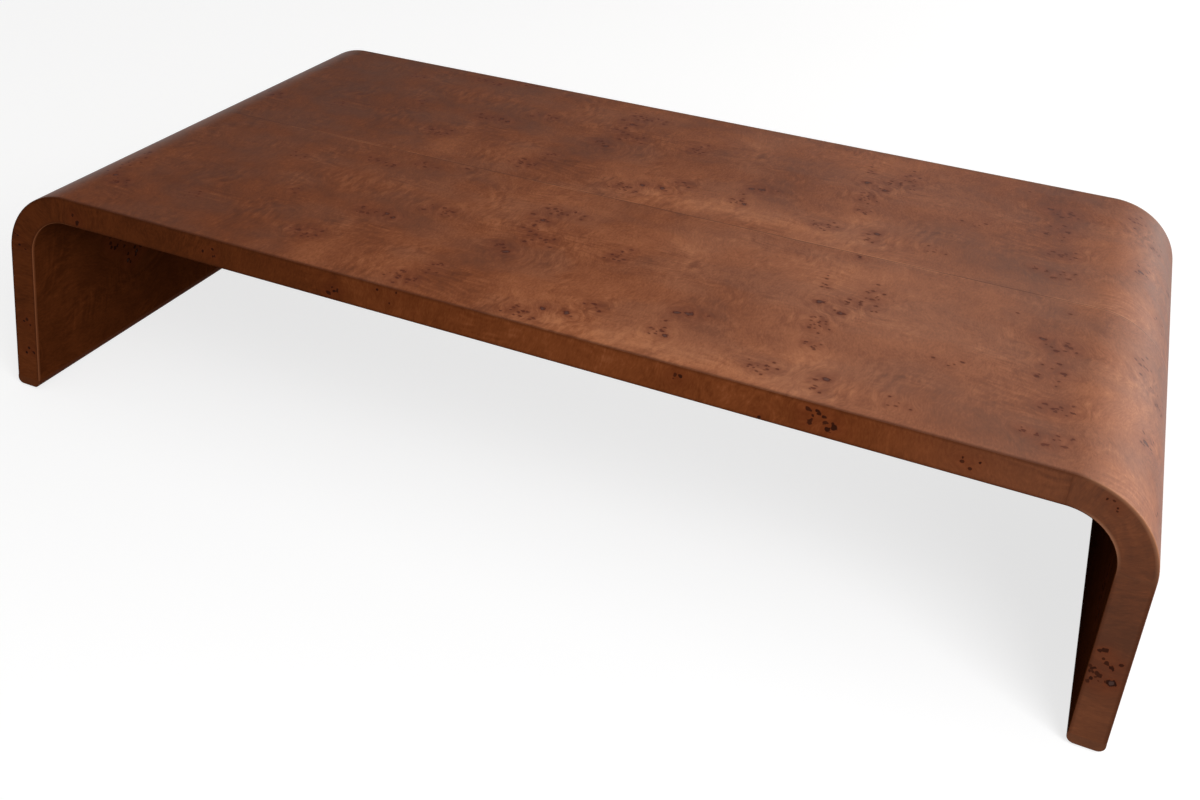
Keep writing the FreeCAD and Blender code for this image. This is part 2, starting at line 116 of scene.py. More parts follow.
class Finish:
    """A material being put together."""

    def __init__(self, name):
        self.material = bpy.data.materials.new(name)
        self.material.use_nodes = True
        self.tree = self.material.node_tree
        self.surface = self.tree.nodes["Principled BSDF"]

    def node(self, kind, settings, *values, output=None, **named):
        """Adds a node of a type: its settings first, then its inputs by order or by name."""
        added = self.tree.nodes.new(kind)
        for key, value in settings.items():
            if key == "stops":
                ramp = added.color_ramp
                while len(ramp.elements) < len(value):
                    ramp.elements.new(0.5)
                for element, (position, colour) in zip(ramp.elements, value):
                    element.position = position
                    element.color = (*colour, 1.0)
            else:
                setattr(added, key, value)
        shown = [socket for socket in added.inputs if socket.enabled]
        for socket, value in zip(shown, values):
            self.feed(socket, value)
        for name, value in named.items():
            self.feed(added.inputs[name], value)
        if output:
            return Wire(self, added.outputs[output])
        return Wire(self, next(socket for socket in added.outputs if socket.enabled))

    def feed(self, socket, value):
        """Links a wire to a socket, or sets the socket's own value."""
        if isinstance(value, Wire):
            self.tree.links.new(value.socket, socket)
        else:
            socket.default_value = value

    def attribute(self, name, output):
        """What the mesh holds at each point under a name."""
        return self.node("ShaderNodeAttribute", {"attribute_name": name}, output=output)

    def place(self):
        """The place of each point on the object, in metres."""
        return self.node("ShaderNodeTexCoord", {}, output="Object")

    def parts(self, vector):
        """The x, y and z of a vector."""
        split = self.node("ShaderNodeSeparateXYZ", {}, vector).socket.node
        return [Wire(self, socket) for socket in split.outputs]

    def scaled(self, vector, factors):
        return self.node("ShaderNodeVectorMath", {"operation": "MULTIPLY"}, vector, factors)

    def moved(self, vector, other):
        return self.node("ShaderNodeVectorMath", {"operation": "ADD"}, vector, other)

    def noise(self, vector, waves, detail, roughness=0.5, output="Fac"):
        """Noise of so many waves a metre along each axis, with finer and weaker octaves."""
        return self.node(
            "ShaderNodeTexNoise", {"noise_dimensions": "3D"}, output=output,
            Vector=self.scaled(vector, waves), Scale=1.0, Detail=detail, Roughness=roughness,
        )

    def mix(self, amount, first, second):
        """The first colour, covered by the second as far as the amount says."""
        settings = {"data_type": "RGBA", "blend_type": "MIX", "clamp_factor": True}
        return self.node("ShaderNodeMix", settings, amount, first, second)

    def bump(self, height, strength, depth=0.4 * MM):
        """A relief whose height is counted in depths, and a depth is in metres."""
        return self.node(
            "ShaderNodeBump", {}, Strength=strength, Distance=depth, Height=height, output="Normal"
        )

    def set(self, **sockets):
        """Feeds the surface's own sockets and gives the material."""
        for name, value in sockets.items():
            self.feed(self.surface.inputs[name.replace("_", " ")], value)
        return self.material


# Solid wood's bands have this share of its fibres' waves. Its tone runs between the two stops.
BAND_WAVES = 0.12
WOOD_TONES = (0.32, 0.68)


def solid_wood(name, dark, light, waves, roughness, lacquer=0.3, tint=None):
    """Straight-grained wood, dark to light by 0.6 of its bands and 0.4 of its fibres.

    The fibres are noise of so many waves a metre along x, y and z, the fewest along the grain,
    and the bands are the same with BAND_WAVES as many. A tint changes the colour by the place.
    """
    finish = Finish(name)
    place = finish.place()
    bands = finish.noise(place, tuple(BAND_WAVES * k for k in waves), 3.0)
    fibre = finish.noise(place, waves, 3.0)
    tone = bands * 0.6 + fibre * 0.4
    wood_stops = list(zip(WOOD_TONES, (dark, light)))
    colour = finish.node("ShaderNodeValToRGB", {"stops": wood_stops}, tone, output="Color")
    if tint:
        colour = tint(finish, place, colour)
    return finish.set(
        Base_Color=colour, Roughness=roughness + fibre * 0.1, Normal=finish.bump(fibre, 0.15),
        Specular_IOR_Level=lacquer,
    )


def dress(word, material):
    """Gives a finish to every CAD node with a word in its name."""
    for name, node in nodes.items():
        if word in name:
            node.data.materials.clear()
            node.data.materials.append(material)


POPLAR_TONES = ((0.40, 0.28, 0.15), (0.58, 0.43, 0.25))
FIBREBOARD = solid_wood("raw_fibreboard", (0.24, 0.15, 0.08), (0.34, 0.23, 0.13), (700, 700, 700), 0.8)
POPLAR_ACROSS = solid_wood("poplar_along_depth", *POPLAR_TONES, (500, 22, 500), 0.65)
POPLAR_ALONG = solid_wood("poplar_along_length", *POPLAR_TONES, (22, 500, 500), 0.65)
POPLAR_UPRIGHT = solid_wood("poplar_upright", *POPLAR_TONES, (500, 500, 22), 0.65)
BEECH = solid_wood("beech_dowels", (0.46, 0.28, 0.15), (0.62, 0.42, 0.25), (600, 600, 600), 0.6)
CORE_WOODS = {
    "_skin": FIBREBOARD,
    "_stile": POPLAR_UPRIGHT,
    "front_rail": POPLAR_ALONG,
    "rear_rail": POPLAR_ALONG,
    "end_rail": POPLAR_ACROSS,
    "head_rail": POPLAR_ACROSS,
    "foot_rail": POPLAR_ACROSS,
    "cross_rib": POPLAR_ACROSS,
    "bend_stave": POPLAR_ACROSS,
    "_dowels": BEECH,
}
for word, wood in CORE_WOODS.items():
    dress(word, wood)

# ------------------------------------------------------------------------------------------
# Outer veneer
# Two leaves of mappa burl, front and rear, pressed over the outside from foot to foot. They are
# slipped and not turned, so the same knots come again about half the depth further forward,
# and meet in a fine joint along the middle. They are stained cognac under a satin lacquer.
# ------------------------------------------------------------------------------------------

# The slab's sizes, as its whole box, the strip on its front edge and a leaf give them.
HALF_LENGTH, HALF_DEPTH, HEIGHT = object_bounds()[1]
top_band_low, top_band_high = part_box("front_edge_band_top")
LEG_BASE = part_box("outer_veneer_front_leaf")[0].z
VENEER = top_band_high.y - top_band_low.y
THICKNESS = HEIGHT - top_band_low.z + VENEER
BEND = HALF_LENGTH - top_band_high.x
LEG = HEIGHT - BEND - LEG_BASE
ARC = BEND * math.pi / 2
FLAT = 2 * (HALF_LENGTH - BEND)
GIRTH = 2 * LEG + 2 * ARC + FLAT

# The stretches of the slab by the distance travelled from the foot of the left leg.
LEFT_BEND = LEG
TOP_START = LEG + ARC
TOP_END = TOP_START + FLAT
RIGHT_LEG = TOP_END + ARC


def on_slab(travel, inset):
    """Point (x, z) at a distance travelled from the left foot and a depth below the outside.

    The outward direction turns from -X through +Z to +X by the angle swept in the two bends.
    The point is the bend's centre, carried along the top by what is travelled on the flat,
    plus that direction times (bend radius - inset), less the height still to climb or already
    come down on a leg.
    """
    swept = np.clip((travel - LEFT_BEND) / BEND, 0, math.pi / 2)
    swept = swept + np.clip((travel - TOP_END) / BEND, 0, math.pi / 2)
    out_x, out_z = -np.cos(swept), np.sin(swept)
    centre_x = np.clip(travel - TOP_START, 0, FLAT) - FLAT / 2
    drop = np.maximum(LEG - travel, 0) + np.maximum(travel - RIGHT_LEG, 0)
    x = centre_x + (BEND - inset) * out_x
    z = HEIGHT - BEND + (BEND - inset) * out_z - drop
    return x, z


def stops(marks, step):
    """Rising values from the first mark to the last, at most a step apart, with every mark."""
    pieces = []
    for start, end in zip(marks, marks[1:]):
        count = max(1, math.ceil((end - start) / step))
        pieces.append(np.linspace(start, end, count + 1)[:-1])
    return np.append(np.concatenate(pieces), marks[-1])


# Burl is poplar with knots, the pith of tiny twigs, in loose clusters: large eyes take the stain
# deeply, and pips by chance. A knot is no perfect circle: it is stretched and turned.
LARGE_KNOT = 4.2 * MM
KNOT_STRETCH = (0.62, 1.0)
LARGE_STAIN = (0.94, 1.0)
PIP_STAIN = (0.68, 0.90)


def knot_array(entries, seed):
    """Knots as rows of (along, across, radius, stretch, turn, depth of stain), in metres and
    radians, from (along, across, radius) in mm."""
    rng = np.random.default_rng(seed)
    rows = np.array([(a, b, r) for a, b, r in entries], float) * MM
    stretch = rng.uniform(*KNOT_STRETCH, len(rows))
    turn = rng.uniform(0, math.pi, len(rows))
    large = rows[:, 2] > LARGE_KNOT
    depth = np.where(large, rng.uniform(*LARGE_STAIN, len(rows)), rng.uniform(*PIP_STAIN, len(rows)))
    return np.column_stack([rows, stretch, turn, depth])


def cluster(rng, along, across, spread_along, spread_across, count, radius):
    """Entries of a cluster of pips: their places fall off as a bell curve from its centre, out
    to 1.7 of its spread, and their radii are 0.7 to 1.3 of the given one."""
    radii = radius * rng.uniform(0.7, 1.3, count)
    offsets = rng.normal(0, 1, (count, 2)).clip(-1.7, 1.7) * (spread_along, spread_across)
    return [(along + o[0], across + o[1], r) for o, r in zip(offsets, radii)]


# Round a knot the grain parts under a bell curve, and a smudge of stain lies under another.
BELL_RADII = 2.2
GRAIN_HALO = 4 * MM
GRAIN_PULL = 0.75
ACROSS_PULL = 0.4
SMUDGE_HALO = 3 * MM
SMUDGE_RADIUS = 3 * MM
SMUDGE_MOST = 2.0


def knot_bell(along, across, knot, halo):
    """Offsets of points from a knot, and a bell curve: exp of minus the squared distance over
    twice the squared reach, which is BELL_RADII of the knot's radii and a halo."""
    middle_along, middle_across, radius = knot
    da, db = along - middle_along, across - middle_across
    reach = BELL_RADII * radius + halo
    return da, db, np.exp(-(da * da + db * db) / (2 * reach * reach))


def part_round(along, across, knots):
    """Grain coordinates of points: near a knot they are drawn to its middle, by GRAIN_PULL of
    the offset times the bell, so the grain lines bow out round it. Where bells add up to more
    than 1 they share the pull, and across the grain it is ACROSS_PULL of that."""
    pull = np.zeros((2,) + along.shape)
    weight = np.zeros(along.shape)
    for knot in knots[:, :3]:
        da, db, bell = knot_bell(along, across, knot, GRAIN_HALO)
        pull += (bell * da, bell * db)
        weight += bell
    pull *= GRAIN_PULL / np.maximum(weight, 1)
    return along - pull[0], across - ACROSS_PULL * pull[1]


def smudge_round(along, across, knots):
    """The sum over the knots of the bell times radius over SMUDGE_RADIUS, to a limit."""
    smudge = np.zeros(len(along))
    for knot in knots[:, :3]:
        bell = knot_bell(along, across, knot, SMUDGE_HALO)[2]
        smudge += knot[2] / SMUDGE_RADIUS * bell
    return np.minimum(smudge, SMUDGE_MOST)


def cloud_tone(along, across, clouds):
    """The sum over the clouds of strength times a bell curve with a reach along and across."""
    shade = np.zeros(len(along))
    for a, b, reach_along, reach_across, strength in clouds:
        shade += strength * np.exp(
            -0.5 * ((along - a * MM) / (reach_along * MM)) ** 2
            - 0.5 * ((across - b * MM) / (reach_across * MM)) ** 2
        )
    return shade


# A skin's arris is eased, and its faces have a greatest length. A dark rim reaches in from an
# arris, and a weaker one from a butt.
EASE = 1.0 * MM
FACE_STEP = 4.2 * MM
SHARP_DEGREES = 35
RIM = 1.6 * MM
BUTT_STRENGTH = 0.45

# Each face knows the knots nearest to it, looked up for a batch of faces at a time.
KNOTS_PER_FACE = 2
BATCH = 20000


def rim_strength(travel, far, y, inset):
    """exp of minus (distance to the nearest arris over RIM) squared, or BUTT_STRENGTH times the
    same of the distance to a butt end, whichever is more."""
    to_arris = np.hypot(HALF_DEPTH - np.abs(y), np.minimum(inset, THICKNESS - inset))
    to_end = np.full(far.shape, GIRTH)
    for butt in (travel[0], travel[-1]):
        if 0 < butt < GIRTH:
            to_end = np.minimum(to_end, np.abs(far - butt))
    butt_line = BUTT_STRENGTH * np.exp(-((to_end / RIM) ** 2))
    return np.maximum(np.exp(-((to_arris / RIM) ** 2)), butt_line)


def nearest_knots(along, across, knots):
    """Indices of the nearest knots to each point, by distance over the radius and half a
    millimetre, nearest first."""
    order = np.empty((len(along), KNOTS_PER_FACE), int)
    for start in range(0, len(along), BATCH):
        part = slice(start, start + BATCH)
        da = along[part, None] - knots[None, :, 0]
        db = across[part, None] - knots[None, :, 1]
        away = np.hypot(da, db) / (knots[None, :, 2] + 0.5 * MM)
        order[part] = np.argsort(away, axis=1)[:, :KNOTS_PER_FACE]
    return order


def knot_coordinates(along, across, chosen):
    """Place of each point in its knot's own frame: turned, and 1 at the knot's rim. The third
    number is the knot's depth of stain."""
    da, db = along - chosen[:, 0], across - chosen[:, 1]
    cos, sin = np.cos(chosen[:, 4]), np.sin(chosen[:, 4])
    u = (cos * da + sin * db) / chosen[:, 2]
    v = (cos * db - sin * da) / (chosen[:, 2] * chosen[:, 3])
    return np.column_stack([u, v, chosen[:, 5]])


def closed_skin(name, grid):
    """Mesh over a grid of points whose rows are rings: quads between one ring and the next, and
    a cap at both ends. Also gives the point of each corner and the first corner of each face."""
    rows, columns = grid.shape[:2]
    points = grid.reshape(-1, 3)
    index = np.arange(rows * columns).reshape(rows, columns)
    after = np.roll(index, -1, axis=1)
    quads = np.stack([index[:-1], after[:-1], after[1:], index[1:]], -1).reshape(-1, 4)
    caps = [index[0][::-1], index[-1]]
    # The ring may run either way round: the volume's sign says which.
    a, b, c, d = (points[quads[:, k]] for k in range(4))
    if np.einsum("ij,ij->i", a - points.mean(0), np.cross(c - a, d - b)).sum() < 0:
        quads = quads[:, ::-1]
        caps = [cap[::-1] for cap in caps]
    corners = np.concatenate([quads.ravel(), *caps])
    starts = np.append(np.arange(len(quads)) * 4, [len(quads) * 4, len(quads) * 4 + columns])

    mesh = bpy.data.meshes.new(name)
    mesh.vertices.add(len(points))
    mesh.vertices.foreach_set("co", points.astype(np.float32).ravel())
    mesh.loops.add(len(corners))
    mesh.loops.foreach_set("vertex_index", corners.astype(np.int32))
    mesh.polygons.add(len(starts))
    mesh.polygons.foreach_set("loop_start", starts.astype(np.int32))
    mesh.update(calc_edges=True)
    mesh.validate()
    mesh.polygons.foreach_set("use_smooth", np.ones(len(starts), bool))
    mesh.set_sharp_from_angle(angle=math.radians(SHARP_DEGREES))
    return mesh, corners, starts


def note(mesh, name, domain, values):
    """Writes a number, or three, at each point or corner of a mesh, for its finish to read."""
    kind, field = ("FLOAT_VECTOR", "vector") if values.ndim == 2 else ("FLOAT", "value")
    layer = mesh.attributes.new(name, kind, domain)
    layer.data.foreach_set(field, values.astype(np.float32).ravel())


def lay_skin(name, travel, section, stock, knots, clouds, cut=0.0):
    """A closed skin: a section of (y, inset) points carried along the slab.

    section is a ring of points, and stock(travel, y, inset) gives each point's place in the
    veneer stock. The surface is the grid of travel by section. It carries that place, so that
    the figure follows it round the bends. cut moves the figure, as when a strip is cut from
    elsewhere.
    """
    y, inset = np.array(section).T
    far, ring_y = np.meshgrid(travel, y, indexing="ij")
    ring_inset = np.broadcast_to(inset, far.shape)
    x, z = on_slab(far, ring_inset)
    mesh, corners, starts = closed_skin(name, np.stack([x, ring_y, z], -1))

    along, across = (field.ravel() for field in stock(far, ring_y, ring_inset))
    place = mesh.uv_layers.new(name="stock")
    place.data.foreach_set("uv", np.column_stack([along, across])[corners].astype(np.float32).ravel())
    grain = np.column_stack([*part_round(along, across, knots), np.full(len(along), cut)])
    note(mesh, "grain", "POINT", grain)
    note(mesh, "cloud", "POINT", cloud_tone(along, across, clouds))
    note(mesh, "smudge", "POINT", smudge_round(along, across, knots))
    note(mesh, "rim", "POINT", rim_strength(travel, far, ring_y, ring_inset).ravel())

    face_of_corner = np.repeat(np.arange(len(starts)), np.diff(np.append(starts, len(corners))))
    count = np.bincount(face_of_corner)
    middle_along = np.bincount(face_of_corner, along[corners]) / count
    middle_across = np.bincount(face_of_corner, across[corners]) / count
    order = nearest_knots(middle_along, middle_across, knots)
    for rank in range(KNOTS_PER_FACE):
        chosen = knots[order[face_of_corner, rank]]
        values = knot_coordinates(along[corners], across[corners], chosen)
        note(mesh, "knot_%d" % (rank + 1), "CORNER", values)

    piece = bpy.data.objects.new(name, mesh)
    bpy.context.scene.collection.objects.link(piece)
    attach(piece, "root")
    return piece


# The stain from its deepest tone to its lightest, and the colours that lie over it.
STAIN = [
    (0.00, (0.085, 0.0205, 0.0055)),
    (0.28, (0.145, 0.0360, 0.0095)),
    (0.50, (0.210, 0.0555, 0.0160)),
    (0.75, (0.315, 0.0985, 0.0365)),
    (1.00, (0.460, 0.1660, 0.0680)),
]
KNOT_COLOUR = (0.078, 0.0120, 0.0035, 1.0)
HEART_COLOUR = (0.110, 0.0620, 0.0520, 1.0)
DARK_KNOT_COLOUR = (0.013, 0.0042, 0.0030, 1.0)
SMUDGE_COLOUR = (0.150, 0.0310, 0.0105, 1.0)
ARRIS_COLOUR = (0.055, 0.0145, 0.0055, 1.0)
# Wear on an arris, with a painted highlight.
WEAR_AND_HIGHLIGHT_COLOUR = (0.300, 0.1050, 0.0450, 1.0)
# A painted highlight on an arris.
ARRIS_HIGHLIGHT_COLOUR = (0.430, 0.2000, 0.1100, 1.0)
# A painted greyish sheen.
RIGHT_SHEEN_COLOUR = (0.145, 0.0920, 0.0690, 1.0)
# A painted pale sheen.
TOP_SHEEN_COLOUR = (0.420, 0.2400, 0.1700, 1.0)
MINERAL_COLOUR = (0.105, 0.1050, 0.0950, 1.0)

# Steps over the place on the table, in metres: where each change begins and where it is whole.
# A painted greyish sheen, growing towards the right-hand end.
RIGHT_SHEEN_FROM = (0.40, 0.68)
# Painted shade, growing towards the rear.
REAR_SHADE_FROM = (-0.10, 0.32)
# A painted pale sheen on the right front of the top: where it starts and ends.
TOP_SHEEN_FROM_LEFT = (0.05, 0.50)
TOP_SHEEN_TO_RIGHT = (0.74, 0.60)
TOP_SHEEN_FROM_REAR = (0.40, -0.05)
JOINT_LINE = (1.5 * MM, 0.6 * MM)
JOINT_LIPS = (4 * MM, 2 * MM)

# Steps over the distance from a knot's middle, in its radii, and over its depth of stain.
KNOT_CORE = (1.20, 0.80)
KNOT_FRINGE = (2.3, 1.0)
KNOT_HEART = (0.75, 0.3)
HEART_DEPTH = (0.91, 0.93)

# The grain wanders in swirls and in eddies inside them: (waves a metre, how far in metres).
GRAIN_WANDER = (
    ((5.0, 5.0, 1.0), (0.085, 0.085, 0.0)),
    ((34.0, 26.0, 1.0), (0.012, 0.010, 0.0)),
)

# The tone before its figure, how far a cloud of strength 1 moves it, and the coat's roughness.
MIDDLE_TONE = 0.49
CLOUD_SHARE = 1.15
SATIN = 0.465


def burl_finish(
    name, lacquer=0.13, lift=0.0, figure=1.0, seed=0.0, stain=1.0, right_sheen=0.0, top_sheen=0.0,
    painted_rear_shade=0.0, mineral=0.0, highlight_and_wear_x=(0.66, 0.70), highlight_and_wear_z=(0.21, 0.27),
    highlight_and_wear_colour=ARRIS_HIGHLIGHT_COLOUR, knot_colour=KNOT_COLOUR,
):
    """Stained burl: the tone is a middle one plus the clouds and the layers of the figure, each
    by its share, and picks a colour from the stain.

    lacquer is how much the coat shines, from 0 for a dead-matt sealer, lift raises or lowers
    the tone, figure is how bold the grain is, seed moves it, and a stain below 1 is a darker
    one. right_sheen is how strong a painted greyish sheen is towards the right-hand end,
    top_sheen how strong a painted pale sheen is on the right front of the top,
    painted_rear_shade how much painted shade darkens the rear's tone, and mineral how strong
    the greyish mineral patches are. The arrises are dark, and lighter where both x and z are
    past their given steps, by default as a painted highlight on the right-hand bend and leg.
    """
    finish = Finish(name)
    grain = finish.attribute("grain", "Vector")
    grain = finish.moved(grain, (seed, 0.37 * seed, 1.9 * seed))
    flow = grain
    for waves, reach in GRAIN_WANDER:
        drift = finish.moved(finish.noise(flow, waves, 1.0, output="Color"), (-0.5, -0.5, -0.5))
        flow = finish.moved(flow, finish.scaled(drift, reach))

    # Layers of the figure: waves a metre along and across the grain, and octaves.
    patches = finish.noise(flow, (6.0, 7.0, 1.0), 3.0)
    mottle = finish.noise(flow, (26.0, 20.0, 1.0), 3.0)
    feather = finish.noise(flow, (115.0, 38.0, 1.0), 2.0)
    fibre = finish.noise(flow, (400.0, 130.0, 1.0), 2.0, 0.6)
    hair = finish.noise(flow, (1500.0, 170.0, 1.0), 1.0)
    curl = finish.noise(flow, (26.0, 150.0, 1.0), 1.0)
    curl_where = finish.noise(grain, (9.0, 9.0, 1.0), 1.0).steps_up(0.50, 0.66)
    comb_where = finish.noise(grain, (14.0, 11.0, 1.0), 1.0).steps_up(0.48, 0.66)
    smudge = finish.attribute("smudge", "Fac")
    # How far each of them moves the tone.
    shares = (
        (patches, 0.38),
        (mottle, 0.42),
        (feather, 0.26 + comb_where * 0.56 + smudge * 0.30),
        (fibre, 0.50),
        (hair, 0.22),
        (curl, curl_where * 0.55),
    )
    streaks = sum((layer - 0.5) * share for layer, share in shares)
    tone = finish.attribute("cloud", "Fac") * CLOUD_SHARE + (MIDDLE_TONE + lift) + streaks * figure

    spot_x, spot_y, spot_z = finish.parts(finish.place())
    # Painted shade: the rear of the top darker in tone.
    if painted_rear_shade:
        tone = tone - spot_y.steps_up(*REAR_SHADE_FROM) * painted_rear_shade
    # The joint between the leaves: a hairline along the middle, its lips sanded lighter.
    from_joint = abs(spot_y)
    joint = from_joint.steps_up(*JOINT_LINE)
    lips = from_joint.steps_up(*JOINT_LIPS)
    tone = tone + lips * patches.steps_up(0.44, 0.58) * 0.32
    stain_stops = [(position, tuple(stain * k for k in shade)) for position, shade in STAIN]
    colour = finish.node("ShaderNodeValToRGB", {"stops": stain_stops}, tone, output="Color")
    if mineral:
        mineral_patches = finish.noise(grain, (7.0, 10.0, 1.0), 2.0).steps_up(0.42, 0.62)
        colour = finish.mix(mineral_patches * mineral, colour, MINERAL_COLOUR)
    # A painted greyish sheen towards the right-hand end.
    if right_sheen:
        colour = finish.mix(spot_x.steps_up(*RIGHT_SHEEN_FROM) * right_sheen, colour, RIGHT_SHEEN_COLOUR)
    # A painted pale sheen on the right front of the top.
    if top_sheen:
        top_sheen_where = spot_x.steps_up(*TOP_SHEEN_FROM_LEFT) * spot_x.steps_up(*TOP_SHEEN_TO_RIGHT)
        top_sheen_where = top_sheen_where * spot_y.steps_up(*TOP_SHEEN_FROM_REAR)
        colour = finish.mix(top_sheen_where * top_sheen, colour, TOP_SHEEN_COLOUR)

    ragged = finish.noise(grain, (300.0, 300.0, 1.0), 1.0) - 0.5
    zones = []
    for attribute in ("knot_1", "knot_2"):
        u, v, depth = finish.parts(finish.attribute(attribute, "Vector"))
        radii = (u * u + v * v).root() + ragged * 2.0
        zones.append((
            radii.steps_up(*KNOT_CORE) * depth,
            radii.steps_up(*KNOT_FRINGE) * depth,
            radii.steps_up(*KNOT_HEART) * depth.steps_up(*HEART_DEPTH),
        ))
    core, fringe, heart = (nearer.most(other) for nearer, other in zip(*zones))
    for amount, paint in (
        ((smudge * 0.16).least(0.28), SMUDGE_COLOUR),
        (joint * 0.7, ARRIS_COLOUR),
        (fringe * 0.30, SMUDGE_COLOUR),
        (core * 0.96, knot_colour),
        (heart * 0.55, HEART_COLOUR),
    ):
        colour = finish.mix(amount, colour, paint)
    # Lighter arrises past both steps: on the outside a painted highlight on the right-hand bend and
    # leg, on the inside's left leg wear with a painted highlight.
    highlight_and_wear = spot_x.steps_up(*highlight_and_wear_x) * spot_z.steps_up(*highlight_and_wear_z)
    rim_colour = finish.mix(highlight_and_wear, ARRIS_COLOUR, highlight_and_wear_colour)
    colour = finish.mix(finish.attribute("rim", "Fac") * 0.8, colour, rim_colour)

    height = fibre * 0.5 + feather * 0.3 - core * 0.7
    rough = SATIN + (mottle - 0.5) * 0.12 + core * 0.06
    return finish.set(
        Base_Color=colour, Roughness=rough, Normal=finish.bump(height, 0.10),
        Specular_IOR_Level=lacquer,
    )


# The flitch: how far the front leaf is slipped, and its knots and clouds. Places are along from
# the floor at the left foot, and across from the rear edge of the rear leaf.
SLIP_FORWARD = 478 * MM
SLIP_RIGHT = 28 * MM

# Single eyes, as (along, across, radius) in mm.
EYES = [
    (943, 98, 4.0), (964, 112, 4.4), (971, 114, 3.0), (960, 138, 3.2), (950, 152, 3.7), (974, 165, 3.7),
    (1002, 167, 3.3), (970, 197, 3.3), (1006, 195, 2.8), (949, 222, 2.6), (943, 229, 2.8),
    (962, 242, 6.5), (1096, 153, 2.8), (1105, 140, 3.2), (1106, 177, 3.5), (1095, 184, 2.8),
    (1087, 170, 2.1), (1215, 292, 4.9), (1229, 288, 6.0), (1252, 281, 2.3), (1210, 323, 2.6),
    (1212, 350, 2.1), (1221, 362, 4.6), (1203, 367, 2.1), (1120, 328, 3.3), (1131, 344, 3.3),
    (1098, 370, 5.1), (1106, 376, 2.1), (1068, 375, 4.6), (1047, 401, 2.6), (1056, 395, 2.8),
    (1066, 412, 2.8), (890, 393, 4.2), (905, 326, 2.5), (1356, 83, 2.6), (1359, 103, 2.1),
    (1417, 88, 2.6), (1431, 90, 3.3), (1419, 64, 2.6), (1420, 115, 4.0), (1363, 160, 6.2),
    (1393, 179, 4.9), (1385, 175, 2.6), (1395, 131, 2.6), (1396, 141, 2.6), (1410, 140, 2.6),
    (1373, 282, 2.8), (1384, 294, 2.6), (1414, 365, 5.1), (1406, 394, 3.0), (1381, -15, 4.6),
    (1352, 358, 2.3), (1340, 390, 2.5), (645, 41, 2.8), (688, 38, 2.8), (748, 12, 3.3), (789, -11, 3.5),
    (804, 172, 3.7), (827, 150, 2.8), (843, 158, 3.7), (735, 231, 4.2), (743, 228, 2.6),
    (767, 216, 4.4), (781, 224, 4.9), (693, 335, 4.0), (722, 322, 3.3), (722, 338, 3.3),
    (708, 343, 2.5), (349, 205, 3.3), (364, 312, 4.4), (393, 320, 3.3), (403, 338, 2.6),
    (1590, 50, 2.3), (1650, 15, 2.5), (1625, 112, 5.1), (1652, 115, 3.5), (1657, 119, 3.2),
    (1642, 137, 3.3), (1664, 130, 2.1), (1648, 172, 3.5), (1654, 196, 4.2), (1627, 220, 3.5),
    (1641, 285, 3.2), (1653, 298, 3.3), (1658, 285, 2.5), (1670, 275, 2.3), (1743, 60, 2.6),
    (1740, 80, 3.5), (1742, 105, 2.5), (1776, 132, 3.5), (1771, 236, 2.6), (1757, 263, 4.6),
    (245, 118, 3.9), (236, 152, 3.5), (262, 172, 4.2), (228, 268, 3.5), (86, 190, 4.4), (140, 330, 3.9),
    (1885, 140, 4.6), (1902, 300, 4.0), (1838, 372, 3.7), (1824, 205, 3.3),
]

# Clusters of pips: (along, across, spread along, spread across, count, radius) in mm.
PIP_CLUSTERS = [
    (975, 66, 20, 10, 14, 2.6), (985, 180, 14, 12, 7, 2.4), (960, 128, 9, 14, 5, 2.2),
    (952, 226, 6, 5, 5, 2.2), (1097, 168, 9, 14, 9, 2.0), (1208, 358, 6, 10, 6, 2.0),
    (1118, 335, 6, 5, 4, 2.0), (1050, 400, 14, 12, 9, 2.4), (878, 388, 12, 14, 14, 2.4),
    (904, 350, 5, 22, 7, 1.9), (1357, 92, 5, 12, 4, 1.9), (1416, 125, 14, 18, 13, 2.2),
    (1372, 228, 14, 16, 16, 2.0), (1378, 286, 8, 7, 5, 2.0), (1341, 380, 11, 9, 12, 1.9),
    (1408, 384, 5, 10, 4, 2.2), (672, 38, 18, 9, 8, 2.4), (725, 10, 12, 6, 5, 2.2),
    (824, 164, 12, 9, 10, 2.0), (755, 220, 16, 8, 9, 2.4), (700, 336, 12, 9, 11, 2.2),
    (352, 258, 9, 26, 10, 2.2), (390, 322, 9, 12, 7, 2.4), (1644, 124, 13, 10, 7, 2.2),
    (1646, 205, 10, 22, 7, 2.0), (1650, 290, 13, 9, 8, 2.2), (1625, 360, 8, 7, 5, 2.2),
    (1658, 366, 12, 10, 8, 2.6), (1746, 78, 8, 20, 7, 2.2), (1784, 112, 8, 18, 8, 2.0),
    (1765, 252, 9, 12, 6, 2.0), (1795, 372, 6, 12, 5, 2.0), (250, 150, 14, 26, 12, 2.6),
    (222, 262, 10, 12, 7, 2.2), (92, 196, 16, 14, 10, 2.6), (150, 322, 14, 12, 8, 2.4),
    (60, 60, 14, 12, 7, 2.4), (1886, 150, 13, 14, 9, 2.6), (1905, 292, 12, 16, 8, 2.4),
    (1844, 366, 10, 12, 8, 2.2), (1822, 210, 8, 10, 6, 2.2), (545, 92, 12, 9, 6, 1.9),
    (500, 300, 10, 12, 5, 1.9), (620, 215, 9, 9, 4, 1.9), (1530, 240, 10, 8, 4, 1.9),
    (1500, 380, 9, 9, 5, 1.9),
]

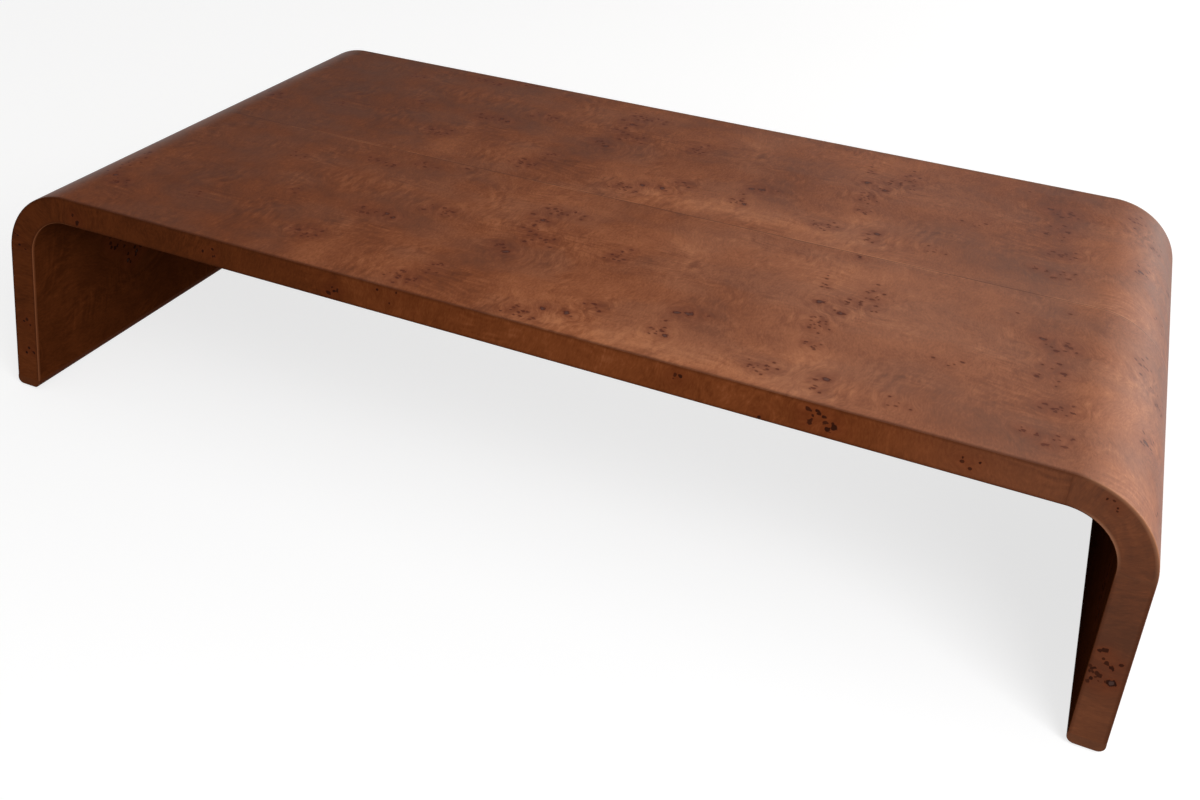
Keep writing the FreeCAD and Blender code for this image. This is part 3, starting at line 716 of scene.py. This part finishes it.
# Soft light and dark clouds of the stain: (along, across, reach along, reach across, strength).
STAIN_CLOUDS = [
    (500, 220, 180, 400, -0.10), (1290, 260, 330, 400, 0.16), (1640, 210, 26, 190, -0.12),
    (742, 350, 18, 60, 0.13), (862, 345, 20, 62, 0.14), (930, 310, 34, 60, -0.17),
    (1245, 385, 70, 32, 0.20), (1070, 408, 26, 20, 0.16), (1150, 415, 30, 25, 0.12),
    (1388, 350, 26, 46, 0.15), (1340, 405, 34, 22, 0.10), (1175, 70, 34, 32, 0.09),
    (1330, 70, 50, 34, 0.08), (1185, 235, 26, 52, 0.08), (1262, 262, 44, 60, -0.14),
    (1110, 175, 50, 44, -0.06), (970, 225, 30, 44, -0.08), (920, 170, 18, 60, 0.06),
    (975, 40, 40, 40, 0.07), (1450, 120, 60, 70, 0.04), (1500, 300, 70, 60, -0.07),
    (1725, 200, 40, 240, 0.13), (1760, 390, 34, 60, 0.10), (640, 120, 60, 60, 0.05),
    (800, 95, 60, 34, 0.05), (780, 225, 44, 30, -0.05), (1030, 330, 26, 50, 0.07),
    (1570, 380, 50, 40, -0.07), (1400, 250, 44, 40, -0.04), (560, 330, 60, 80, -0.04),
    (690, 410, 36, 40, 0.05), (1160, 330, 30, 40, -0.05),
]

outer_rng = np.random.default_rng(41)
outer_entries = list(EYES)
for pips in PIP_CLUSTERS:
    outer_entries += cluster(outer_rng, *pips)
OUTER_KNOTS = knot_array(outer_entries, 7)

# Where a leaf has its rings of points, the angles round its eased arris, and the two halves.
SLAB_STOPS = stops([0, LEFT_BEND, TOP_START, TOP_END, RIGHT_LEG, GIRTH], FACE_STEP)
ARRIS = np.linspace(0, math.pi / 2, 5)
ENDS = ((-1, "front"), (1, "rear"))


def leaf_section(end, face):
    """Ring of (y, inset) for a leaf on the front (-1) or rear (+1) half.

    It lies on the outside (face 0) or the inside (face 1) of the slab: flat from the middle
    joint to the edge, a quarter circle of the eased arris, and back at that depth.
    """
    flat = stops([0, HALF_DEPTH - EASE], FACE_STEP)
    ring_y = np.concatenate([flat[:-1], HALF_DEPTH - EASE + EASE * np.sin(ARRIS), [0]])
    depth = np.concatenate([0 * flat[:-1], EASE - EASE * np.cos(ARRIS), [EASE]])
    inset = depth if face == 0 else THICKNESS - depth
    return np.column_stack([end * ring_y, inset])


def flitch(end):
    """Place in the flitch of a point on the front or rear leaf: its travel from the floor and
    its distance from the rear edge, less the slips in front. Over an arris the veneer runs on
    by the depth below its face."""
    slip_right, slip_forward = (SLIP_RIGHT, SLIP_FORWARD) if end < 0 else (0, 0)

    def place(travel, y, inset):
        rim = np.minimum(inset, np.abs(THICKNESS - inset))
        return travel + LEG_BASE - slip_right, HALF_DEPTH - slip_forward - y - end * rim

    return place


# Over the stain, a painted pale sheen lies on the right front of the top and painted shade on its rear.
OUTER_FINISH = burl_finish("cognac_burl_outside", top_sheen=0.13, painted_rear_shade=0.09, mineral=0.08)
for end, end_name in ENDS:
    leaf = lay_skin(
        "burl_outside_%s" % end_name, SLAB_STOPS, leaf_section(end, 0), flitch(end),
        OUTER_KNOTS, STAIN_CLOUDS,
    )
    leaf.data.materials.append(OUTER_FINISH)
    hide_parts("outer_veneer_%s_leaf" % end_name)

# ------------------------------------------------------------------------------------------
# Inner veneer
# The same burl in two leaves under the top and inside the legs, cut from another flitch. It is
# pressed on as the outside is, stained, darkened further as painted shade, and has only a
# dead-matt sealer.
# ------------------------------------------------------------------------------------------

# Clusters of 5 to 12 pips, thrown anywhere on the flitch.
INNER_CLUSTERS = 46
inner_rng = np.random.default_rng(90)
inner_entries = []
for _ in range(INNER_CLUSTERS):
    spot = inner_rng.uniform((20, 10), (1930, 440))
    inner_entries += cluster(inner_rng, *spot, 13, 13, int(inner_rng.integers(5, 13)), 3.4)
INNER_KNOTS = knot_array(inner_entries, 8)

# Its lowered tone and darker stain are painted shade under the table and inside the legs. On
# the left leg the arrises are lighter at any height: wear, with a painted highlight.
INNER_FINISH = burl_finish(
    "cognac_burl_inside", lacquer=0.0, lift=-0.40, figure=0.7, seed=3.1, stain=0.84,
    highlight_and_wear_x=(-0.60, -0.66), highlight_and_wear_z=(-1.0, -0.9), highlight_and_wear_colour=WEAR_AND_HIGHLIGHT_COLOUR,
    knot_colour=DARK_KNOT_COLOUR,
)
for end, end_name in ENDS:
    leaf = lay_skin(
        "burl_inside_%s" % end_name, SLAB_STOPS, leaf_section(end, 1), flitch(end), INNER_KNOTS, []
    )
    leaf.data.materials.append(INNER_FINISH)
    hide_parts("inner_veneer_%s_leaf" % end_name)

# ------------------------------------------------------------------------------------------
# Edge bands
# Strips of the same burl glued over the front and rear edges of the slab, five to an edge and
# butted where the bends begin and end. Their arrises are eased with the leaves'.
# ------------------------------------------------------------------------------------------

# How strong the painted greyish sheen to the right is, on the edges and the lippings.
RIGHT_SHEEN_SHARE = 0.24
# The edges' lowered tone is painted shade on their upright faces.
BAND_FINISH = burl_finish(
    "cognac_burl_edges", lacquer=0.015, lift=-0.09, figure=0.8, seed=7.7, right_sheen=RIGHT_SHEEN_SHARE,
    knot_colour=DARK_KNOT_COLOUR,
)
BAND_STRIPS = (
    ("left_leg", 0, LEFT_BEND),
    ("left_bend", LEFT_BEND, TOP_START),
    ("top", TOP_START, TOP_END),
    ("right_bend", TOP_END, RIGHT_LEG),
    ("right_leg", RIGHT_LEG, GIRTH),
)
# Eyes on the bands: (along, from the outside, radius) in mm.
BAND_EYES = [
    (1437, 10, 3.4), (1441, 25, 4.0), (1449, 12, 2.6), (1455, 14, 2.4), (1457, 21, 2.8),
    (1461, 29, 3.2), (1467, 24, 4.0), (1446, 9, 2.0), (821, 32, 3.6), (829, 27, 2.6), (834, 25, 2.4),
    (826, 22, 2.0), (1283, 14, 3.2), (1290, 12, 2.6), (1385, 37, 3.0), (403, 22, 2.8), (411, 32, 4.0),
    (116, 23, 2.6), (112, 17, 2.0), (108, 29, 2.2), (63, 32, 3.0), (68, 24, 2.2), (59, 19, 2.0),
    (1964, 28, 3.0), (1966, 33, 2.0), (1979, 23, 2.6), (1975, 27, 1.8), (1983, 17, 2.8),
    (1988, 37, 2.2), (1990, 34, 2.8), (1996, 28, 4.0), (2008, 35, 2.4), (2002, 14, 5.0), (1976, 9, 2.2),
    (2004, 26, 1.8),
]
# Clusters on the bands: (along, from the outside, spread along, spread across, count, radius).
BAND_CLUSTERS = [
    (2005, 33, 6, 4, 4, 1.8), (1452, 20, 10, 6, 4, 1.8), (905, 14, 8, 5, 3, 1.8),
    (640, 22, 9, 6, 4, 2.0), (1610, 22, 9, 6, 4, 2.0), (1765, 14, 10, 6, 4, 2.0),
    (240, 16, 9, 6, 4, 2.0),
]
band_rng = np.random.default_rng(17)
band_entries = list(BAND_EYES)
for pips in BAND_CLUSTERS:
    band_entries += cluster(band_rng, *pips)
BAND_KNOTS = knot_array(band_entries, 9)
# Clouds on the bands: (along, from the outside, reach along, reach across, strength).
BAND_CLOUDS = [
    (560, 20, 260, 200, -0.25), (1080, 20, 170, 200, 0.06), (1500, 20, 60, 200, -0.06),
    (1720, 20, 70, 200, -0.05), (1950, 20, 100, 200, -0.32), (2045, 20, 40, 200, 0.06),
    (140, 20, 150, 200, -0.09),
]
# Each strip comes from elsewhere in the stock: a step from strip to strip, and one to the rear.
STRIP_CUT = 0.7
REAR_CUT = 5


def band_section(end):
    """Ring of (y, inset): the strip's face across the slab's edge, and its back."""
    across = stops([EASE, THICKNESS - EASE], FACE_STEP)
    face = np.column_stack([np.full(len(across), end * HALF_DEPTH), across])
    back = [(end * (HALF_DEPTH - VENEER), THICKNESS - EASE), (end * (HALF_DEPTH - VENEER), EASE)]
    return np.vstack([face, back])


def band_stock(travel, y, inset):
    """Place in the strip: along the slab from the floor, and across it from the outside."""
    return travel + LEG_BASE + 0 * y, inset + 0 * y


for end, end_name in ENDS:
    for number, (strip, start, stop) in enumerate(BAND_STRIPS):
        band = lay_skin(
            "burl_band_%s_%s" % (end_name, strip),
            stops([start, start + RIM, stop - RIM, stop], FACE_STEP),
            band_section(end), band_stock, BAND_KNOTS, BAND_CLOUDS,
            cut=STRIP_CUT * number + REAR_CUT * (end > 0),
        )
        band.data.materials.append(BAND_FINISH)
        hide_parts("%s_edge_band_%s" % (end_name, strip))

# ------------------------------------------------------------------------------------------
# Foot lippings
# A strip of solid hardwood glued under each leg, with its grain along the foot. Its long lower
# edges are rounded, and it is stained to match the veneer above it, with a painted sheen to the
# right and painted shade on its side under the table.
# ------------------------------------------------------------------------------------------

LIPPING_TONES = ((0.105, 0.029, 0.0095), (0.175, 0.050, 0.0165))
# Painted shade on the side under the table, and how strong it is.
UNDER_SHADE_COLOUR = (0.080, 0.020, 0.0062, 1)
UNDER_SHADE_SHARE = 0.9


def lipping_sheen_and_shade(finish, place, colour):
    """A painted greyish sheen on the right, as on the edge band above it, and painted shade on the
    side under the table, as far as 6 mm out from the leg's inner face and fading by 10 mm. The
    front and rear ends keep their colour."""
    x, y = finish.parts(place)[:2]
    # A painted greyish sheen to the right.
    colour = finish.mix(x.steps_up(*RIGHT_SHEEN_FROM) * RIGHT_SHEEN_SHARE, colour, RIGHT_SHEEN_COLOUR)
    inner_face = HALF_LENGTH - THICKNESS
    # Painted shade under the table.
    under = abs(x).steps_up(inner_face + 10 * MM, inner_face + 6 * MM)
    behind_end = abs(y).steps_up(HALF_DEPTH - 0.5 * MM, HALF_DEPTH - 2 * MM)
    return finish.mix(under * behind_end * UNDER_SHADE_SHARE, colour, UNDER_SHADE_COLOUR)


LIPPING_FINISH = solid_wood(
    "stained_lipping", *LIPPING_TONES, (420, 25, 420), 0.40, lacquer=0.015, tint=lipping_sheen_and_shade
)
dress("foot_lipping", LIPPING_FINISH)

# ------------------------------------------------------------------------------------------
# Glides
# Two discs of dark moulded nylon under each leg, finely grained and scuffed by the floor. The
# stem of each is driven up through the lipping into a bore in the foot rail.
# ------------------------------------------------------------------------------------------

NYLON_COLOUR = (0.018, 0.016, 0.015, 1)
SCUFF_COLOUR = (0.06, 0.055, 0.05, 1)
nylon = Finish("dark_nylon")
nylon_place = nylon.place()
nylon_grain = nylon.noise(nylon_place, (2600, 2600, 2600), 2.0)
nylon_scuff = nylon.noise(nylon_place, (160, 420, 160), 3.0).steps_up(0.5, 0.72)
nylon.set(
    Base_Color=nylon.mix(nylon_scuff * 0.35, NYLON_COLOUR, SCUFF_COLOUR),
    Roughness=0.42 + nylon_scuff * 0.2, Normal=nylon.bump(nylon_grain, 0.2, 0.3 * MM),
)
dress("_glide", nylon.material)

# ------------------------------------------------------------------------------------------
# Studio
# A white painted floor, level for 16 m all round and then curving up, whose glow rises away
# from the table. A soft overcast sun stands above the front, a wide lamp behind on the right, a
# faint one straight behind, and a third at the right front.
# ------------------------------------------------------------------------------------------

# The camera, gloss and glass see the floor glow, but it lights the table only as a plain floor.
FLAT_REACH = 16.0
COVE_RADII = np.array([4.0, FLAT_REACH, 17.0, 18.0, 19.0, 20.0])
COVE_SIDES = 64
FLOOR_GLOW = (0.74, 0.74, 0.74, 1.0)
COVE_GLOW = (0.92, 0.92, 0.92, 1.0)
GLOW_RISE = (2.2, 6.5)
FLOOR_AS_LIT = (0.30, 0.29, 0.28, 1)
FLOOR_AS_SEEN = (0.36, 0.36, 0.36, 1)
ROOM_LIGHT = 0.13


def cove_points():
    """The origin and rings about it: level out to FLAT_REACH, and past it as high as a quarter
    of the squared distance from there."""
    turns = np.arange(COVE_SIDES) / COVE_SIDES * 2 * math.pi
    radius, turn = np.meshgrid(COVE_RADII, turns, indexing="ij")
    height = np.maximum(radius - FLAT_REACH, 0) ** 2 / 4
    rings = np.stack([radius * np.cos(turn), radius * np.sin(turn), height], -1).reshape(-1, 3)
    return np.vstack([[0, 0, 0], rings])


ring_index = 1 + np.arange(len(COVE_RADII) * COVE_SIDES).reshape(-1, COVE_SIDES)
ring_after = np.roll(ring_index, -1, axis=1)
cove_quads = np.stack([ring_index[:-1], ring_index[1:], ring_after[1:], ring_after[:-1]], -1)
cove_middle = np.column_stack([np.zeros(COVE_SIDES, int), ring_index[0], ring_after[0]])
cove_faces = cove_middle.tolist() + cove_quads.reshape(-1, 4).tolist()
floor_mesh = bpy.data.meshes.new("floor")
floor_mesh.from_pydata(cove_points().tolist(), [], cove_faces)
floor_mesh.polygons.foreach_set("use_smooth", np.ones(len(floor_mesh.polygons), bool))
floor = bpy.data.objects.new("floor", floor_mesh)
bpy.context.scene.collection.objects.link(floor)

paint = Finish("white_floor")
camera_ray, glossy_ray, clear_ray = (
    paint.node("ShaderNodeLightPath", {}, output="Is %s Ray" % ray)
    for ray in ("Camera", "Glossy", "Transmission")
)
seen = camera_ray.most(glossy_ray).most(clear_ray)
from_table = paint.node("ShaderNodeVectorMath", {"operation": "LENGTH"}, paint.place(), output="Value")
glow = paint.mix(from_table.steps_up(*GLOW_RISE), FLOOR_GLOW, COVE_GLOW)
floor_mesh.materials.append(paint.set(
    Base_Color=paint.mix(seen, FLOOR_AS_LIT, FLOOR_AS_SEEN), Roughness=0.9,
    Specular_IOR_Level=0.0, Emission_Strength=1.0,
    Emission_Color=paint.mix(seen, (0.0, 0.0, 0.0, 1), glow),
))

world = bpy.data.worlds.new("room")
world.use_nodes = True
world.node_tree.nodes["Background"].inputs["Color"].default_value = (1, 1, 1, 1)
world.node_tree.nodes["Background"].inputs["Strength"].default_value = ROOM_LIGHT
bpy.context.scene.world = world


def lamp(kind, name, place, target, power, **settings):
    """A lamp at a place, turned to face a target, unseen by the camera itself."""
    data = bpy.data.lights.new(name, kind)
    data.energy = power
    for key, value in settings.items():
        setattr(data, key, value)
    light = bpy.data.objects.new(name, data)
    bpy.context.scene.collection.objects.link(light)
    light.location = place
    light.visible_camera = False
    light.rotation_mode = "QUATERNION"
    light.rotation_quaternion = (Vector(place) - Vector(target)).to_track_quat("Z", "Y")


lamp("SUN", "overcast", (-0.2, -0.8, 2.6), (0, 0, 0), 0.66, angle=math.radians(75))
lamp("AREA", "right_window", (2.6, 2.2, 1.6), (0.3, 0.0, 0.3), 66, size=3.0, color=(1.0, 0.95, 0.89))
lamp("AREA", "back_window", (0.6, 4.2, 2.0), (0.3, 0.0, 0.3), 7, size=2.6, color=(0.98, 0.98, 1.0))
lamp("AREA", "right_front", (2.1, -2.3, 1.9), (0.2, 0.0, 0.2), 80, size=2.0)

# ------------------------------------------------------------------------------------------
# Camera
# It stands in front of the right-hand half, above the top, and looks down to the left with a
# slight tilt. The frame is shifted a little right and down of where the lens points.
# ------------------------------------------------------------------------------------------

CAMERA_PLACE = (0.5827, -1.9334, 1.1251)
CAMERA_HEADING = 26.81
CAMERA_DIP = 23.13
CAMERA_ROLL = 2.87
camera_data = bpy.data.cameras.new("camera")
camera_data.sensor_width = 36.0
camera_data.lens = 43.30
camera_data.shift_x = 0.188
camera_data.shift_y = -0.15
camera_data.clip_start = 0.05
camera = bpy.data.objects.new("camera", camera_data)
bpy.context.scene.collection.objects.link(camera)
camera.location = CAMERA_PLACE
camera.rotation_mode = "XYZ"
heading = Matrix.Rotation(math.radians(CAMERA_HEADING), 3, "Z")
dip = Matrix.Rotation(math.radians(90 - CAMERA_DIP), 3, "X")
roll = Matrix.Rotation(math.radians(CAMERA_ROLL), 3, "Z")
camera.rotation_euler = (heading @ dip @ roll).to_euler("XYZ")
bpy.context.scene.camera = camera
bpy.context.scene.view_settings.view_transform = "Standard"
